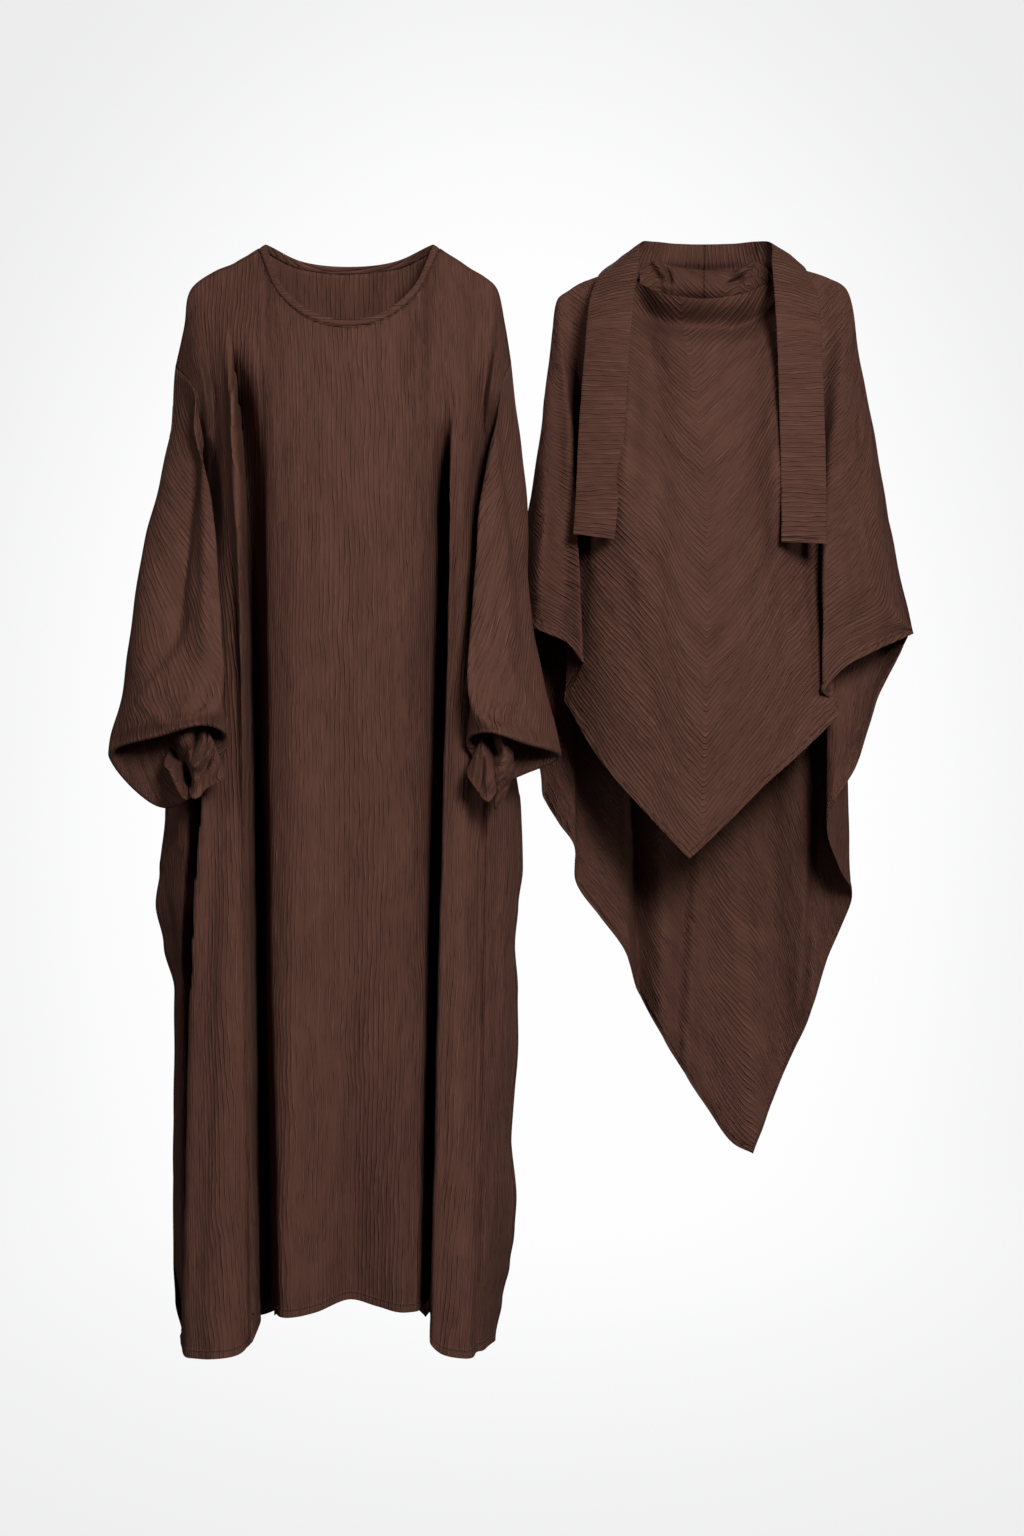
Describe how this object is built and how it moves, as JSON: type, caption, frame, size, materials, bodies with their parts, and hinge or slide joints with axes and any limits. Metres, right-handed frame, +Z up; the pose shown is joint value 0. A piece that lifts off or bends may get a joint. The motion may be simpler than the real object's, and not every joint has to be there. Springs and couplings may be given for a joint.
{
  "type": "two-piece abaya",
  "caption": "Floor-length batwing dress with bloused, gathered cuffs, and a pointed cape with a cowl neck and hanging neck ties, hollow as worn.",
  "frame": {"origin": "middle of the dress's neck, level with the high points of its shoulder seams, where a neck or hanger holds it", "axes": "+Z up; +X to the right as one looks at the fronts, from the dress to the cape; +Y towards the backs, so the fronts face -Y"},
  "size_m": [1.0322, 0.362, 1.4358],
  "materials": {
    "crepe": "matt chocolate-brown crinkled crepe, grain hanging down",
    "crepe_bias": "the same crepe, cut on the bias",
    "crepe_trim": "the same crepe, doubled or gathered, grain lying across"
  },
  "bodies": {
    "root": {"dress_front": "crepe", "dress_back": "crepe", "dress_sleeve_left": "crepe", "dress_sleeve_right": "crepe", "dress_cuff_left": "crepe_trim", "dress_cuff_right": "crepe_trim", "dress_neck_binding": "crepe_trim", "cape_front": "crepe_bias", "cape_back": "crepe_bias", "cape_cowl": "crepe_bias", "cape_tie_left": "crepe_trim", "cape_tie_right": "crepe_trim"}
  },
  "joints": []
}
